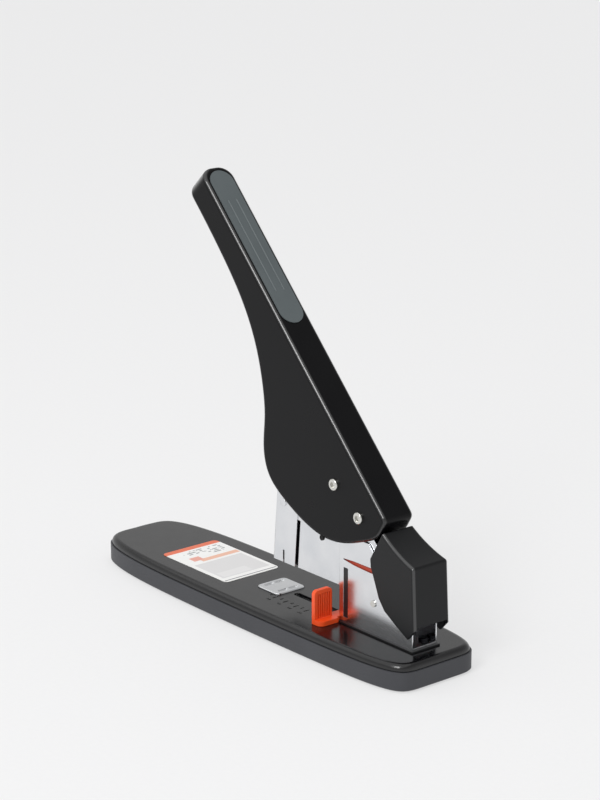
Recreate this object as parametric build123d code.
"""Heavy-duty desk stapler: long base, hinged stapling arm and a long raised lever.

Frame: +X towards the anvil end, +Y to one side, +Z up, origin at the middle of the base on the table.
The arm turns on the stand's main pivot, the handle turns on the arm, and the handle drives the
driver lever and the driver blade inside the arm.
"""

import os
from math import cos, pi, radians, sin, sqrt, tan

from build123d import *

# ---------------------------------------------------------------- driving dimensions, mm
BASE_LENGTH = 290.0
BASE_WIDTH = 73.4
FOOT_PROUD = 0.8            # how far the rubber feet stand out below the skirt
SKIRT_TOP = 12.0
BASE_TOP = 16.4             # working surface of the base plate
PLATE_GAUGE = 1.6

CROWN_HALF = 6.5            # half the width of the staples
RAIL_HALF = 5.3
CHANNEL_IN, CHANNEL_OUT = 6.7, 7.3
FRAME_IN, FRAME_OUT = 7.5, 8.2
CAP_OUT = 8.8
STAND_IN, STAND_OUT = 8.6, 9.4
HANDLE_IN, HANDLE_OUT = 9.7, 11.1

ARM_BOTTOM = 38.3           # underside of the arm at rest
NOSE_X = -6.3               # foremost line of the nose at the underside
NOSE_LEAN = radians(4.5)    # the nose leans back by this much at rest
NOSE_TOP = 97.0
STAND_FRONT, STAND_REAR = -68.0, -131.0
PACKING = 1.0

MAIN_PIVOT = (-121.0, 38.5)
FULCRUM = (-86.7, 85.2)     # the handle turns here on the arm
LINK = (-65.1, 99.8)        # the handle presses the driver lever here
LEVER_PIVOT = (-110.5, 70.5)
LEVER_LENGTH = 100.5
LEVER_REST = 13.75          # degrees above level at rest
BLADE_STROKE = 27.3

HANDLE_START = (-111.25, 86.5)
HANDLE_SLOPE = 46.28        # degrees above level at rest
HANDLE_LENGTH = 246.3
GRIP_DEPTH = 18.9
TIP_PLAN_ROUND = 9.0        # end of the grip, seen from above
TIP_JOIN = 232.5            # the casing's profile ends here and the rounded end block begins
CASING_ROUND = 2.4          # long edges of the casing
INLAY_FROM, INLAY_TO, INLAY_HALF = 135.2, 243.0, 8.3

ANVIL_X, ANVIL_LENGTH, ANVIL_WIDTH, ANVIL_TOP = -3.0, 20.5, 22.0, 17.4
PIN_FIT = 0.05              # radial clearance of a running pin
SLIDE_FIT = 0.4             # gap between a sliding piece and its guide

os.makedirs("parts", exist_ok=True)
written = []


# ---------------------------------------------------------------- helpers
def save(name, shape):
    """Writes one node and notes its size."""
    shape.label = name
    export_step(shape, f"parts/{name}.step")
    written.append((name, len(shape.solids()), shape.volume))


def plate(points, low, high):
    """A flat piece whose side outline is given as (x, z), between two values of y."""
    outline = Polyline(*[(x, low, z) for x, z in points], close=True)
    return extrude(make_face(outline), amount=high - low, dir=(0, 1, 0))


def block(x, y, z):
    """A box from three (low, high) spans."""
    size = [high - low for low, high in (x, y, z)]
    middle = [(high + low) / 2 for low, high in (x, y, z)]
    return Pos(*middle) * Box(*size)


def pin(centre, low, high, radius):
    """A round bar along y at centre = (x, z)."""
    return Pos(centre[0], (low + high) / 2, centre[1]) * Rot(90, 0, 0) * Cylinder(radius, high - low)


def post(x, y, low, high, radius):
    """A round bar along z."""
    return Pos(x, y, (low + high) / 2) * Cylinder(radius, high - low)


def both_sides(piece):
    """The piece and its mirror image across the middle plane."""
    return [piece, mirror(piece, about=Plane.XZ)]


def nose_x(z, behind=0.0):
    """X of the leaning nose face at height z, or of a line that lies behind it."""
    return NOSE_X - behind - (z - ARM_BOTTOM) * tan(NOSE_LEAN)


def leaning(behind, thickness, low, high, half):
    """A plate that leans back with the nose, that far behind its face."""
    points = [(nose_x(low, behind), low), (nose_x(high, behind), high),
              (nose_x(high, behind + thickness), high), (nose_x(low, behind + thickness), low)]
    return plate(points, -half, half)


def helix_spring(x, y, low, high, radius, wire, turns):
    """A compression spring standing along z."""
    rise = high - low - wire
    path = Helix(pitch=rise / turns, height=rise, radius=radius)
    start = path @ 0
    section = Plane(origin=start, z_dir=path % 0) * Circle(wire / 2)
    return Pos(x, y, low + wire / 2) * sweep(section, path=path)


def turned_spring(centre, low, high, radius, wire, legs):
    """A torsion spring about a pin along y: a closed coil with two straight legs."""
    coil = pin(centre, low, high, radius) - pin(centre, low - 1, high + 1, radius - wire)
    for angle, length, side in legs:
        reach = (centre[0] + length * cos(radians(angle)), centre[1] + length * sin(radians(angle)))
        across = (-sin(radians(angle)) * wire / 2, cos(radians(angle)) * wire / 2)
        root = (centre[0] + (radius - wire / 2) * cos(radians(angle)),
                centre[1] + (radius - wire / 2) * sin(radians(angle)))
        corners = [(root[0] + across[0], root[1] + across[1]), (reach[0] + across[0], reach[1] + across[1]),
                   (reach[0] - across[0], reach[1] - across[1]), (root[0] - across[0], root[1] - across[1])]
        y_low = low if side < 0 else high - wire
        coil += plate(corners, y_low, y_low + wire)
    return coil


# ---------------------------------------------------------------- base
def base_outline(inset, z):
    """The base in plan: bulging sides, a rounder end at the anvil and a squarer one behind."""
    half_length, half_width = BASE_LENGTH / 2 - inset, BASE_WIDTH / 2 - inset
    points = []
    steps = 10
    for quarter in range(4):
        for i in range(steps):
            share = i / steps
            turn = (quarter + share * share * (3 - 2 * share)) * pi / 2
            power = 2 / 5.1 if cos(turn) >= 0 else 2 / 7.7
            x = half_length * abs(cos(turn)) ** power * (1 if cos(turn) >= 0 else -1)
            y = half_width * abs(sin(turn)) ** power * (1 if sin(turn) >= 0 else -1)
            points.append((x, y * (1 - 0.077 * (x / half_length) ** 2), z))
    return make_face(Spline(*points, periodic=True))


def base_solid(inset, low, high):
    return extrude(base_outline(inset, low), amount=high - low, dir=(0, 0, 1))


def base_skirt():
    """Moulded tray: a wall all round, ribs across it, screw bosses and a pad under the anvil."""
    tray = base_solid(0, FOOT_PROUD, SKIRT_TOP)
    tray = chamfer(tray.edges().group_by(Axis.Z)[0], 0.8)
    tray -= base_solid(2.6, FOOT_PROUD - 1, SKIRT_TOP + 1)
    inside = base_solid(2.0, FOOT_PROUD, BASE_TOP)
    for x in (-112, -84, -30, ANVIL_X, 30, 62, 112):
        tray += inside & block((x - 1, x + 1), (-40, 40), (4, SKIRT_TOP))
    for y in (-22, 22):
        tray += inside & block((-142, 142), (y - 1, y + 1), (4, SKIRT_TOP))
    tray += block((ANVIL_X - 13, ANVIL_X + 13), (-14, 14), (4, 14.0))
    tray += block((-134, -66), (-11, 11), (4, BASE_TOP - PLATE_GAUGE))
    for x, y in BASE_SCREWS:
        tray += post(x, y, 2, BASE_TOP - PLATE_GAUGE, 4.5)
        tray -= post(x, y, 0, 4.5, 3.6)
        tray -= post(x, y, 0, 20, 1.7)
    for x, y in FEET:
        tray += inside & post(x, y, 1.6, SKIRT_TOP, 9.0)
        tray -= post(x, y, 0, 2.6, 7.2)
    tray -= block((-64, -12), (-6, 6), (3, 20))
    tray -= post(ANVIL_X, 0, 3, 15, 2.05)
    for x, y in STAND_SCREWS:
        tray -= post(x, y, 3, 20, 1.55)
    return tray


BASE_SCREWS = [(x, y) for x in (-97, 97) for y in (-18, 18)]
FEET = [(x, y) for x in (-112, 0, 112) for y in (-21.5, 21.5)]
STAND_SCREWS = [(x, y) for x in (-80, -124) for y in (-5.5, 5.5)]


def base_plate():
    """Pressed steel cover with a rolled edge, a window for the anvil and the depth stop's slot."""
    cover = base_solid(0.9, SKIRT_TOP, BASE_TOP)
    cover = fillet(cover.edges().group_by(Axis.Z)[-1], 3.6)
    hollow = base_solid(0.9 + PLATE_GAUGE, SKIRT_TOP - 1, BASE_TOP - PLATE_GAUGE)
    hollow = fillet(hollow.edges().group_by(Axis.Z)[-1], 2.0)
    cover -= hollow
    cover -= anvil_blank(0.3, 10, 20)
    cover -= slot_cut(DEPTH_SLOT[0], DEPTH_SLOT[1], 2.2)
    for x, y in STAND_SCREWS:
        cover -= post(x, y, 10, 20, 1.8)
    return cover


DEPTH_SLOT = (-66.0, -16.5)


def slot_cut(start, end, half):
    return block((start + half, end - half), (-half, half), (10, 20)) + post(
        start + half, 0, 10, 20, half) + post(end - half, 0, 10, 20, half)


def anvil_blank(gap, low, high):
    outline = RectangleRounded(ANVIL_LENGTH + 2 * gap, ANVIL_WIDTH + 2 * gap, 3.0 + gap)
    return extrude(Pos(ANVIL_X, 0, low) * outline, amount=high - low)


def anvil_plate():
    """Hardened plate with two rows of clinching grooves."""
    anvil = anvil_blank(0, 14.0, ANVIL_TOP)
    anvil = chamfer(anvil.edges().group_by(Axis.Z)[-1], 0.4)
    for x in (ANVIL_X - 6.5, ANVIL_X + 6.5):
        for y in (-4.1, 4.1):
            groove = Pos(x, y, ANVIL_TOP + 1.2) * Rot(90, 0, 0) * Cylinder(1.9, 4.6)
            anvil -= groove + Pos(x, y - 2.3, ANVIL_TOP + 1.2) * Sphere(1.9) + Pos(
                x, y + 2.3, ANVIL_TOP + 1.2) * Sphere(1.9)
    anvil -= post(ANVIL_X, 0, 13, 15.6, 2.05)
    return anvil


def base_pieces():
    save("base_skirt", base_skirt())
    save("base_plate", base_plate())
    save("anvil_plate", anvil_plate())
    save("anvil_rivet", post(ANVIL_X, 0, 3.2, 15.6, 2.0) + post(ANVIL_X, 0, 2.4, 3.9, 3.6))
    save("rubber_feet", Compound(children=[
        fillet(post(x, y, 0, 2.6, 7.0).edges().group_by(Axis.Z)[0], 0.5) for x, y in FEET]))
    save("base_screws", Compound(children=[
        post(x, y, 1.4, 3.9, 3.2) + post(x, y, 3.8, 14.2, 1.6) - post(x, y, 1, 2.6, 1.2)
        for x, y in BASE_SCREWS]))
    label = RectangleRounded(65.0, 42.0, 3.0)
    save("instruction_label", extrude(Pos(56.5, 0, BASE_TOP) * label, amount=0.25))


# ---------------------------------------------------------------- stand
STAND_SLOT = (-75.5, -71.6, 20.5, 51.0)
LATCH_SLIT = [(-71.4, 56.3), (-71.4, 55.7), (-80.5, 54.5), (-93.0, 53.9), (-106.0, 53.9), (-106.0, 57.0),
              (-80.5, 56.9)]


def stand_bracket():
    """Bent steel channel screwed to the base: a floor and two side walls with slots."""
    floor = BASE_TOP + PACKING
    side = [(STAND_FRONT, floor), (STAND_FRONT, 66), (-74, 71), (-93, 71), (-101, 62.0),
            (-117, 62.0), (STAND_REAR, 46), (STAND_REAR, floor)]
    bracket = plate(side, -STAND_OUT, STAND_OUT)
    bracket -= block((STAND_REAR - 1, STAND_FRONT + 1), (-STAND_IN, STAND_IN), (floor + 1.2, 90))
    x0, x1, z0, z1 = STAND_SLOT
    bracket -= block((x0, x1), (-20, 20), (z0, z1))
    bracket -= plate(LATCH_SLIT, -20, 20)
    bracket -= pin(MAIN_PIVOT, -20, 20, 3.0)
    bracket -= pin(RIVET, -20, 20, 1.25)
    for x, y in STAND_SCREWS:
        bracket -= post(x, y, 10, 20, 1.8)
    return bracket


RIVET = (-98.0, 36.2)


def stand_pieces():
    save("stand_bracket", stand_bracket())
    packing = block((STAND_REAR - 1.5, STAND_FRONT - 0.2), (-10.6, 10.6), (BASE_TOP, BASE_TOP + PACKING))
    for x, y in STAND_SCREWS:
        packing -= post(x, y, 10, 20, 1.8)
    save("stand_packing", packing)
    save("stand_screws", Compound(children=[
        post(x, y, 6, 18.7, 1.5) + fillet(post(x, y, 18.6, 20.2, 2.9).edges().group_by(Axis.Z)[-1], 0.6)
        for x, y in STAND_SCREWS]))
    x0, x1, z0, z1 = STAND_SLOT
    save("wear_strips", Compound(children=both_sides(
        block((x0, x1), (STAND_IN + 0.05, STAND_OUT - 0.35), (z0, z1)))))
    save("stand_rivets", Compound(children=both_sides(
        pin(RIVET, STAND_IN + 0.05, STAND_OUT, 1.25) + pin(RIVET, STAND_OUT, STAND_OUT + 0.7, 2.0))))
    save("main_pivot_pin", pin(MAIN_PIVOT, -STAND_OUT, STAND_OUT, 3.0))
    save("arm_return_spring", helix_spring(-95, 0, BASE_TOP + PACKING + 1.2, ARM_BOTTOM, 4.6, 1.2, 5))


# ---------------------------------------------------------------- arm
def arm_frame():
    """Bent steel channel that carries the magazine, the lever and the handle."""
    front_low, front_high = nose_x(ARM_BOTTOM, 22.6), nose_x(68, 22.6)
    side = [(front_low, ARM_BOTTOM), (front_high, 68), (nose_x(68, 1.6), 68), (nose_x(93, 1.6), 93),
            (-24, 93), (-40, 82), (-62, 76), (-76, 76), (-78.5, 80), (-78.5, 92), (-94.5, 92),
            (-94.5, 76), (-100, 70.5), (-104, 75.4), (-111.5, 75.4), (-116.5, 71.5), (-128, 62), (-128, 36),
            (-124, 32.3), (-117, 32.3), (-112.5, ARM_BOTTOM)]
    frame = plate(side, -FRAME_OUT, FRAME_OUT)
    frame -= block((-140, 10), (-FRAME_IN, FRAME_IN), (ARM_BOTTOM + 0.6, 120))
    frame -= block((-140, -113.5), (-FRAME_IN, FRAME_IN), (20, 60))
    frame -= block((-113.0, -68.0), (-20, 20), (53.4, 58.4))
    frame -= pin(MAIN_PIVOT, -20, 20, 3.0 + PIN_FIT)
    frame -= pin(FULCRUM, -20, 20, 3.0 + PIN_FIT)
    frame -= pin(LEVER_PIVOT, -20, 20, 2.5)
    for spot in NOSE_RIVETS:
        frame -= pin(spot, -20, 20, 1.5)
    return frame


NOSE_RIVETS = [(-16.5, 88.0), (-16.5, 76.0)]


def nose_cap():
    """Bright steel cap round the driver: open below in front, where the magazine slides out."""
    low, high, back = ARM_BOTTOM, NOSE_TOP, 20.2
    side = [(nose_x(low), low), (nose_x(high), high), (nose_x(high, 12), high),
            (nose_x(84, back), 84), (nose_x(low, back), low)]
    cap = plate(side, -CAP_OUT, CAP_OUT)
    cap = fillet(cap.edges().filter_by(lambda e: abs((e @ 0).X - nose_x((e @ 0).Z)) < 0.01
                                       and abs((e @ 1).X - nose_x((e @ 1).Z)) < 0.01
                                       and abs((e @ 0).Z - (e @ 1).Z) > 20), 1.0)
    inner = [(nose_x(low - 5, 0.8), low - 5), (nose_x(high + 5, 0.8), high + 5),
             (-60, high + 5), (-60, low - 5)]
    cap -= plate(inner, -FRAME_OUT, FRAME_OUT)
    cap -= plate([(5, low - 5), (5, 65), (nose_x(65, 2), 65), (nose_x(low - 5, 2), low - 5)],
                 -CHANNEL_OUT - 0.3, CHANNEL_OUT + 0.3)
    cap -= block((-17.0, -15.6), (-20, 20), (low - 1, 46))
    for spot in NOSE_RIVETS:
        cap -= pin(spot, -20, 20, 1.5)
    return cap


def driver_guides():
    """Two strips inside the nose that keep the blade upright."""
    strip = plate([(nose_x(66, 2.7), 66), (nose_x(92, 2.7), 92), (nose_x(92, 7), 92), (nose_x(66, 7), 66)],
                  CROWN_HALF - 1.5, FRAME_IN)
    return Compound(children=both_sides(strip))


COVER_TOP, COVER_BEND, COVER_BACK = (-107.8, 81.5), (-135.3, 68.4), (-137.4, 32.2)
COVER_SCOOP, COVER_WALL = 2.2, 1.6


def cover_profile(top, bend, rest, half):
    """Side view of the cap as a solid: its slanted top is scooped between `top` and `bend`."""
    run, drop = bend[0] - top[0], bend[1] - top[1]
    length = sqrt(run * run + drop * drop)
    middle = ((top[0] + bend[0]) / 2 - COVER_SCOOP * drop / -length,
              (top[1] + bend[1]) / 2 - COVER_SCOOP * -run / length)
    scoop = ThreePointArc(*[(x, 0, z) for x, z in (top, middle, bend)])
    back = Polyline(*[(x, 0, z) for x, z in (bend, *rest, top)])
    return extrude(make_face([scoop, back]), amount=half, both=True, dir=(0, 1, 0))


def rear_cover():
    """Outer form of the cap over the back of the arm, wider behind than in front."""
    rest = [COVER_BACK, (-131.2, 25.3), (-121.0, 30.2), (-110.2, 36.0), (-105.0, 42.0), (-101.3, 50.5),
            (-97.4, 59.0), (-97.0, 63.6)]
    whole = cover_profile(COVER_TOP, COVER_BEND, rest, 14) & cover_plan(0)
    corners = (COVER_TOP, COVER_BEND, COVER_BACK)

    def rounded(edge):
        first, last = edge @ 0, edge @ 1
        on_corner = [any(abs(p.X - x) + abs(p.Z - z) < 0.05 for x, z in corners) for p in (first, last)]
        across = abs(first.Y - last.Y) > 15
        return all(on_corner) and (not across or abs(first.X - COVER_BEND[0]) < 0.05)

    return fillet(whole.edges().filter_by(rounded), 1.9)


def cover_plan(wall):
    """Plan of the cover, tapering towards the front, as a tall solid."""
    front, back = 11.3 - wall, 13.5 - wall
    outline = Polyline((-85, front, 0), (-96, front, 0), (-138, back, 0), (-138, -back, 0), (-96, -front, 0),
                       (-85, -front, 0), close=True)
    return extrude(make_face(outline), amount=120, dir=(0, 0, 1))


def cover_shell():
    """The cap hollowed out, with an arch low in its back wall and bosses on the lever's pin."""
    hollow = cover_profile((-107.1, 80.1), (-133.6, 67.4), [(-135.7, 32.0), (-135.7, 20.0), (-85.0, 20.0),
                                                            (-85.0, 80.1)], 14)
    shell = rear_cover() - (hollow & cover_plan(COVER_WALL))
    shell -= block((-150, -133), (-11.6, 11.6), (10, 33.2))
    for side in (-1, 1):
        ends = sorted((side * FRAME_OUT, side * 10.6))
        shell += pin(LEVER_PIVOT, ends[0], ends[1], 4.4)
    return shell - pin(LEVER_PIVOT, -9.9, 9.9, 2.5)


def arm_pieces():
    save("arm_frame", arm_frame())
    save("nose_cap", nose_cap())
    save("driver_guides", driver_guides())
    save("nose_rivets", Compound(children=[
        shape for spot in NOSE_RIVETS for shape in both_sides(
            pin(spot, FRAME_IN, CAP_OUT, 1.5) + pin(spot, CAP_OUT, CAP_OUT + 0.6, 2.4))]))
    save("rear_cover", cover_shell())
    save("lever_pivot_pin", pin(LEVER_PIVOT, -9.9, 9.9, 2.5))
    save("handle_return_spring", turned_spring(FULCRUM, 3.6, 6.6, 5.2, 1.0, [(15, 13, 1), (262, 9, -1)]))
    save("lever_return_spring", turned_spring(LEVER_PIVOT, -6.6, -3.6, 4.8, 1.0, [(325, 9, 1), (250, 9, -1)]))


# ---------------------------------------------------------------- driver lever and blade
def driver_lever():
    """Thick pressed lever: eye at the back, hump under the link sleeve, narrow tip in the blade."""
    tip = LEVER_LENGTH
    side = [(0, -4.8), (20, -5.5), (60, -5.0), (90, -3.0), (tip, -2.4), (tip, 1.8), (tip - 0.8, 2.6),
            (90, 3.0), (72, 7.5), (61, 11.8), (41, 11.8), (34, 5.0), (30, 2.4), (12, 2.4), (0, 4.8)]
    lever = plate(side, -3.0, 3.0) + pin((0, 0), -3.3, 3.3, 4.9)
    lever -= pin((0, 0), -10, 10, 2.5 + PIN_FIT)
    for x in (50, 76):
        lever -= pin((x, 0.5), -10, 10, 2.6)
    return Pos(LEVER_PIVOT[0], 0, LEVER_PIVOT[1]) * Rot(0, -LEVER_REST, 0) * lever


def driver_blade():
    """Hardened blade that pushes the front staple out; the lever's tip sits in its window."""
    low = ARM_BOTTOM + 0.4 + BLADE_STROKE * cos(NOSE_LEAN)
    tip_z = LEVER_PIVOT[1] + LEVER_LENGTH * sin(radians(LEVER_REST))
    blade = leaning(1.3, 1.0, low, tip_z + 8, CROWN_HALF - 0.1)
    blade -= block((-30, 0), (-3.5, 3.5), (tip_z - 3.6, tip_z + 3.6))
    return blade


# ---------------------------------------------------------------- magazine
CORE_END = -100.0


def magazine_channel():
    """Sliding channel: the front plate closes the nose and the walls guide the staples."""
    low, high = ARM_BOTTOM + 0.8, 63.0
    side = [(nose_x(low, 0.2), low), (nose_x(high, 0.2), high), (-103.5, high), (-103.5, low)]
    channel = plate(side, -CHANNEL_OUT, CHANNEL_OUT)
    channel -= plate([(nose_x(low, 1.0), low - 1), (nose_x(high, 1.0), high + 1),
                      (-11.5, high + 1), (-11.5, low - 1)], -CHANNEL_IN, CHANNEL_IN)
    channel -= block((-102.7, -11.0), (-CHANNEL_IN, CHANNEL_IN), (low + 0.6, 80))
    return channel


def magazine_pieces():
    floor = ARM_BOTTOM + 1.4
    save("magazine_channel", magazine_channel())
    rail = block((CORE_END, -11.0), (-RAIL_HALF, RAIL_HALF), (floor, 61.5))
    rail -= block((CORE_END - 1, -9), (-RAIL_HALF + 0.9, RAIL_HALF - 0.9), (floor - 1, 60.6))
    rail -= block((CORE_END + 8, -15.2), (-1.6, 1.6), (59, 63))
    save("magazine_rail", rail)
    save("rail_end_blocks", Compound(children=[
        block((-14.6, -11.8), (-RAIL_HALF + 0.9, RAIL_HALF - 0.9), (floor, 59.5)),
        block((CORE_END, CORE_END + 3), (-RAIL_HALF + 0.9, RAIL_HALF - 0.9), (floor, 59.5))]))
    save("pusher_rod", Pos((-14.6 + CORE_END + 3) / 2, 0, 51) * Rot(0, 90, 0) * Cylinder(
        1.2, -14.6 - CORE_END - 3))
    front, back = -16.0, -27.0
    saddle = block((back, front), (-CROWN_HALF + 0.1, CROWN_HALF - 0.1), (floor + 0.4, 63.8))
    saddle -= block((back - 1, front + 1), (-RAIL_HALF - SLIDE_FIT, RAIL_HALF + SLIDE_FIT), (floor - 1, 61.9))
    saddle += block((back, front), (-1.2, 1.2), (55, 62.2))
    saddle += block((back, front), (-3.6, 3.6), (47.4, 56))
    saddle -= Pos((front + back) / 2, 0, 51) * Rot(0, 90, 0) * Cylinder(1.2 + 0.3, 30)
    save("pusher", saddle)
    spring = Rot(0, 90, 0) * helix_spring(0, 0, 0, -27.2 - CORE_END - 3.2, 2.6, 0.6, 14)
    save("pusher_spring", Pos(CORE_END + 3.1, 0, 51) * spring)


def release_slide():
    """Orange yoke behind the long slit: two side bars joined behind the magazine."""
    low, high = 53.8, 58.0
    yoke = block((-110.5, -70.0), (-8.3, 8.3), (low, high))
    yoke -= block((-105.0, -69.0), (-CHANNEL_OUT - 0.2, CHANNEL_OUT + 0.2), (low - 1, high + 1))
    yoke += block((-125.0, -109.5), (-4.0, 4.0), (low, high))
    yoke += block((-125.0, -122.5), (-4.0, 4.0), (44.0, high))
    return yoke


# ---------------------------------------------------------------- handle
def place_handle(shape):
    """From the handle's own frame (x along its top, z = 0 on its top face) to its rest pose."""
    return Pos(HANDLE_START[0], 0, HANDLE_START[1]) * Rot(0, -HANDLE_SLOPE, 0) * shape


def in_handle(spot):
    """A rest-pose (x, z) point in the handle's own frame."""
    dx, dz = spot[0] - HANDLE_START[0], spot[1] - HANDLE_START[1]
    slope = radians(HANDLE_SLOPE)
    return (dx * cos(slope) + dz * sin(slope), dz * cos(slope) - dx * sin(slope))


def grip_tip():
    """Rounded end block of the grip."""
    tip = block((TIP_JOIN, HANDLE_LENGTH), (-HANDLE_OUT, HANDLE_OUT), (-GRIP_DEPTH, 0))
    tip = fillet(tip.edges().filter_by(Axis.Z).group_by(Axis.X)[-1], TIP_PLAN_ROUND)
    return fillet(tip.edges().filter_by(lambda e: abs((e @ 0).Z - (e @ 1).Z) < 0.01
                                        and (e @ 0).X + (e @ 1).X > 2 * TIP_JOIN + 0.01), CASING_ROUND)


def handle_shell():
    """Lever casing: slim grip, deep cheeks round the arm, open below between the cheeks."""
    top = Line((6, 0, 0), (TIP_JOIN, 0, 0))
    end = Line((TIP_JOIN, 0, 0), (TIP_JOIN, 0, -GRIP_DEPTH))
    under = Spline((TIP_JOIN, 0, -GRIP_DEPTH), (198, 0, -19.7), (164.5, 0, -23.3), (141, 0, -30.5),
                   (120, 0, -41.8), (105, 0, -53.6), (92.5, 0, -67.0), (77, 0, -75.0), (60, 0, -73.3),
                   (34.4, 0, -63.7), (21.7, 0, -55.0), (10.5, 0, -40.5), (3.2, 0, -25.0),
                   (-0.3, 0, -12.8), (1.4, 0, -4.2), (6, 0, 0), tangents=[(-1, 0, 0), (1, 0, 0)])
    shell = extrude(make_face([top, end, under]), amount=HANDLE_OUT, both=True, dir=(0, 1, 0))
    shell = fillet(shell.edges().filter_by(
        lambda e: abs(abs((e @ 0).Y) - HANDLE_OUT) < 0.01 and abs((e @ 0).Y - (e @ 1).Y) < 0.01
        and (e @ 0).X + (e @ 1).X < 2 * TIP_JOIN - 0.01), CASING_ROUND)
    shell += grip_tip()
    cheeks = plate([(3, -2.8), (118, -2.8), (118, -90), (-10, -90), (-10, -12), (3, -12)],
                   -HANDLE_IN, HANDLE_IN)
    grip = plate([(117, -2.8), (232, -2.8), (236, -7), (236, -13), (232, -16.6), (200, -17.4), (166, -20.8),
                  (143, -27.6), (117, -41.6)], -HANDLE_IN, HANDLE_IN)
    shell -= cheeks
    shell -= grip
    shell -= inlay_pad()
    for spot in (FULCRUM, LINK):
        shell -= pin(in_handle(spot), -20, 20, 2.0)
    return shell


def inlay_pad():
    """Soft pad with round ends, let into the top of the grip and standing a little proud."""
    pad = block((INLAY_FROM, INLAY_TO), (-INLAY_HALF, INLAY_HALF), (-1.3, 0.5))
    middle = block((INLAY_FROM + INLAY_HALF, INLAY_TO - INLAY_HALF), (-INLAY_HALF, INLAY_HALF), (-30, 5))
    ends = [Pos(x, 0, -12) * Cylinder(INLAY_HALF, 40)
            for x in (INLAY_FROM + INLAY_HALF, INLAY_TO - INLAY_HALF)]
    return pad & (middle + ends[0] + ends[1])


def handle_screw(spot):
    """Domed screw with a hexagon socket, through the cheek into the end of its pin."""
    head = fillet(pin((0, 0), HANDLE_OUT, HANDLE_OUT + 1.7, 3.6).edges().group_by(Axis.Y)[-1], 0.9)
    floor = Plane((0, HANDLE_OUT + 0.7, 0), x_dir=(1, 0, 0), z_dir=(0, 1, 0))
    socket = extrude(floor * RegularPolygon(1.9, 6), amount=3)
    screw = head + pin((0, 0), HANDLE_IN - 5, HANDLE_OUT, 2.0) - socket
    return Pos(spot[0], 0, spot[1]) * screw


def drilled_pin(centre, radius):
    """A pin between the handle's cheeks with a threaded hole in each end."""
    bar = pin(centre, -HANDLE_IN, HANDLE_IN, radius)
    bar -= pin(centre, HANDLE_IN - 6, HANDLE_IN + 1, 2.0)
    return bar - pin(centre, -HANDLE_IN - 1, 6 - HANDLE_IN, 2.0)


def handle_pieces():
    save("handle_shell", place_handle(handle_shell()))
    save("grip_inlay", place_handle(inlay_pad()))
    save("fulcrum_pin", drilled_pin(FULCRUM, 3.0))
    save("link_pin", drilled_pin(LINK, 3.0))
    sleeve = pin(LINK, -3.5, 3.5, 5.0) - pin(LINK, -4, 4, 3.0)
    save("link_sleeve", sleeve)
    save("handle_screws", Compound(children=[
        shape for spot in (FULCRUM, LINK) for shape in both_sides(handle_screw(spot))]))
    nub = pin((-53.6, 64.3), HANDLE_IN + 0.05, HANDLE_OUT - 0.1, 1.7)
    save("handle_bumpers", Compound(children=both_sides(nub)) - place_handle(handle_shell()))


# ---------------------------------------------------------------- depth stop
STOP_BACK, STOP_FACE = -63.9, -61.2     # the uprights, along the base; the paper meets the face
STOP_IN, STOP_OUT = 11.45, 24.6         # the uprights, across the base
STOP_FOOT_TOP, STOP_TOP = 19.4, 37.2
STOP_KEY = (-63.4, -59.7)               # tongue that runs in the slot, along the base
RIB_COUNT = 5


def depth_stop():
    """Orange saddle: two ribbed uprights beside the arm's path, joined by a foot over the slot."""
    low = BASE_TOP + 0.15
    foot = block((-69.2, -59.6), (-STOP_OUT, STOP_OUT), (low, STOP_FOOT_TOP))
    foot = fillet(foot.edges().filter_by(Axis.Z), 4.0)
    stop = foot - block((-80, STAND_FRONT + 0.6), (-11.0, 11.0), (low - 1, STOP_FOOT_TOP + 1))
    for side in (-1, 1):
        spans = sorted((side * STOP_IN, side * STOP_OUT))
        upright = block((STOP_BACK, STOP_FACE), spans, (low, STOP_TOP))
        upright = fillet(upright.edges().filter_by(Axis.X).group_by(Axis.Z)[-1], 2.6)
        recess = sorted((side * (STOP_IN + 1.4), side * (STOP_OUT - 2.4)))
        upright -= block((STOP_BACK - 1, STOP_BACK + 0.9), recess, (STOP_FOOT_TOP + 0.6, STOP_TOP - 2.4))
        pitch = (recess[1] - recess[0]) / (RIB_COUNT + 0.5)
        for i in range(RIB_COUNT):
            y = recess[0] + pitch * (i + 0.75)
            upright += block((STOP_BACK + 0.1, STOP_BACK + 1.0), (y - 0.5, y + 0.5),
                             (STOP_FOOT_TOP - 0.5, STOP_TOP - 2.3))
        stop += upright
    return stop + block(STOP_KEY, (-1.8, 1.8), (11.6, BASE_TOP + 1))


def depth_stop_clip():
    """Steel clip under the base plate that grips the stop's tongue."""
    clip = block(STOP_KEY, (-5.0, 5.0), (10.4, 11.6))
    for y in ((-5.0, -3.4), (3.4, 5.0)):
        clip += block(STOP_KEY, y, (11.6, BASE_TOP - PLATE_GAUGE - 0.15))
    return clip


# ---------------------------------------------------------------- build
base_pieces()
stand_pieces()
arm_pieces()
save("driver_lever", driver_lever())
save("driver_blade", driver_blade())
magazine_pieces()
save("release_slide", release_slide())
handle_pieces()
save("depth_stop", depth_stop())
save("depth_stop_clip", depth_stop_clip())
for name, count, volume in written:
    print(f"{name:22s} solids {count} volume {volume:9.1f} mm3")
